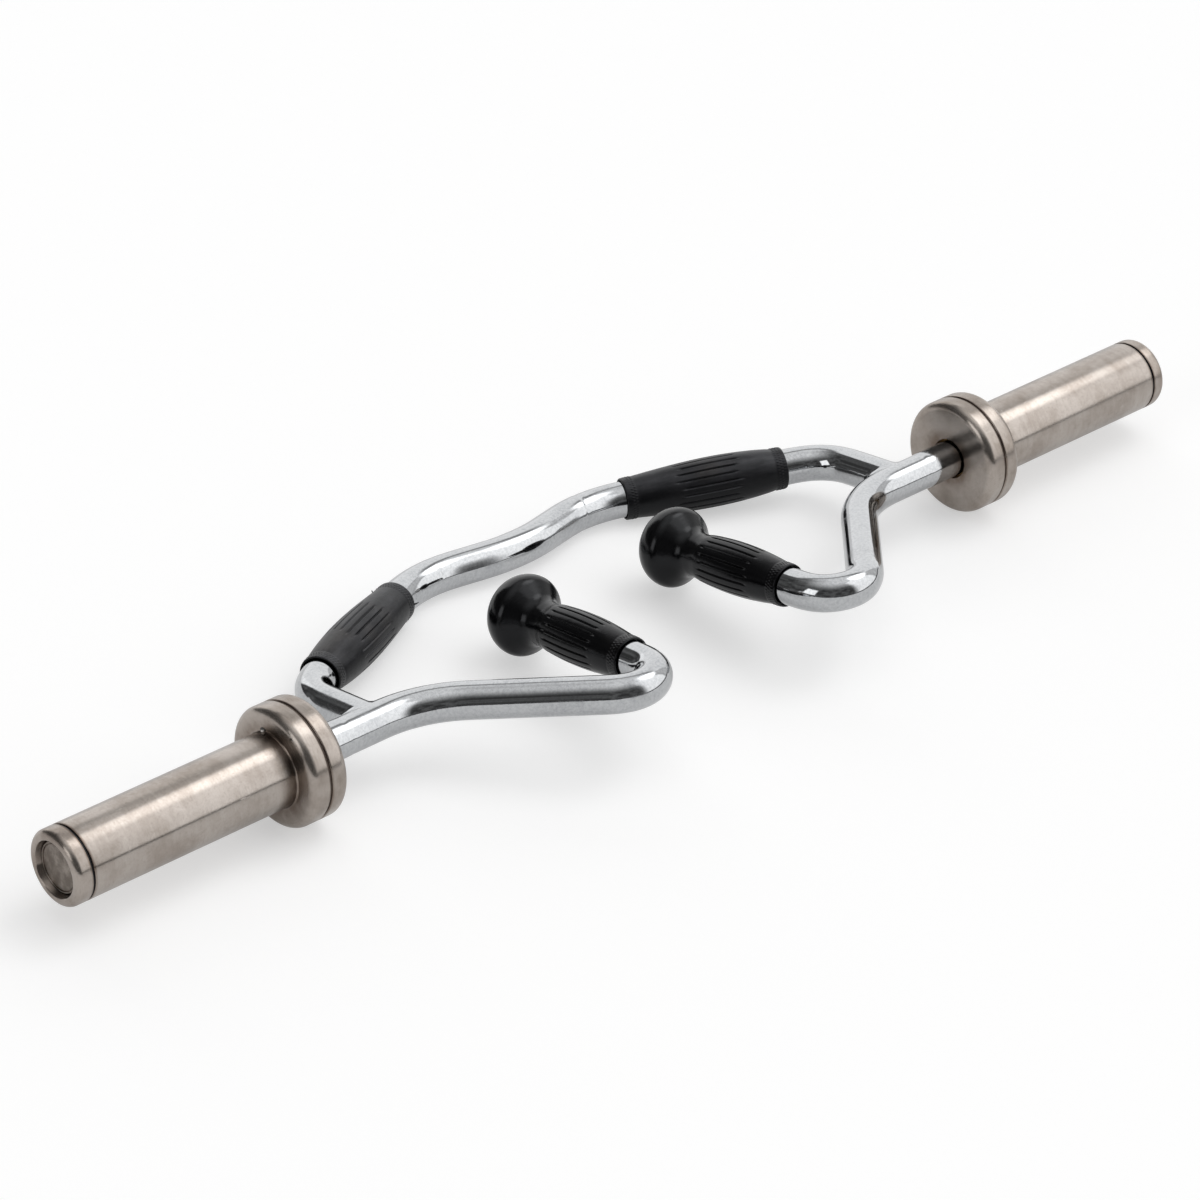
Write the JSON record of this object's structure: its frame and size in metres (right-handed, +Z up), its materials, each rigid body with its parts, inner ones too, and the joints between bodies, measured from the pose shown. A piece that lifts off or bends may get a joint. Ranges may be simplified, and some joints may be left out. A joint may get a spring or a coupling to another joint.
{
  "type": "triceps bar",
  "caption": "Short plate-loaded bar for triceps and curl exercises: chromed bent frame with rubber grips facing inwards, and collared sleeves that turn freely at its ends.",
  "frame": {"origin": "middle of the outline's width and depth, at floor height, with the bar lying as it rests by itself on its collars and curl grips", "axes": "+X along the bar's axis to the right, +Y towards the curl bar, +Z up"},
  "size_m": [0.9622, 0.2569, 0.0804],
  "materials": {
    "chrome": "polished chrome plate",
    "satin_steel": "turned satin stainless steel with fine circular marks",
    "dark_steel": "plain zinc-free machine steel, hidden inside",
    "bronze": "oiled sintered bronze, hidden inside",
    "rubber": "moulded black rubber, semi-matt",
    "plastic": "black plug, hidden inside a grip"
  },
  "bodies": {
    "frame": {"curl_bar": "chrome", "left_handle_tube": "chrome", "left_joint_bead": "chrome", "left_spindle": "chrome", "left_spindle_weld": "chrome", "left_end_washer": "dark_steel", "left_end_bolt": "dark_steel", "left_curl_grip": "rubber", "left_handle_grip": "rubber", "left_handle_plug": "plastic", "right_handle_tube": "chrome", "right_joint_bead": "chrome", "right_spindle": "chrome", "right_spindle_weld": "chrome", "right_end_washer": "dark_steel", "right_end_bolt": "dark_steel", "right_curl_grip": "rubber", "right_handle_grip": "rubber", "right_handle_plug": "plastic"},
    "left_sleeve_body": {"left_sleeve": "satin_steel", "left_collar_outer_ring": "satin_steel", "left_collar_inner_ring": "satin_steel", "left_collar_shim": "dark_steel", "left_collar_key": "satin_steel", "left_collar_bush": "bronze", "left_thrust_washer": "bronze", "left_end_bush": "bronze", "left_cap_seal": "rubber", "left_end_cap": "satin_steel", "left_cap_disc": "satin_steel"},
    "right_sleeve_body": {"right_sleeve": "satin_steel", "right_collar_outer_ring": "satin_steel", "right_collar_inner_ring": "satin_steel", "right_collar_shim": "dark_steel", "right_collar_key": "satin_steel", "right_collar_bush": "bronze", "right_thrust_washer": "bronze", "right_end_bush": "bronze", "right_cap_seal": "rubber", "right_end_cap": "satin_steel", "right_cap_disc": "satin_steel"}
  },
  "joints": [
    {"name": "left_sleeve_spin", "type": "hinge", "parent": "frame", "child": "left_sleeve_body", "pos_m": [-0.3, -0.02006, 0.0402], "axis": [1, 0, 0], "continuous": true},
    {"name": "right_sleeve_spin", "type": "hinge", "parent": "frame", "child": "right_sleeve_body", "pos_m": [0.3, -0.02006, 0.0402], "axis": [1, 0, 0], "continuous": true}
  ]
}
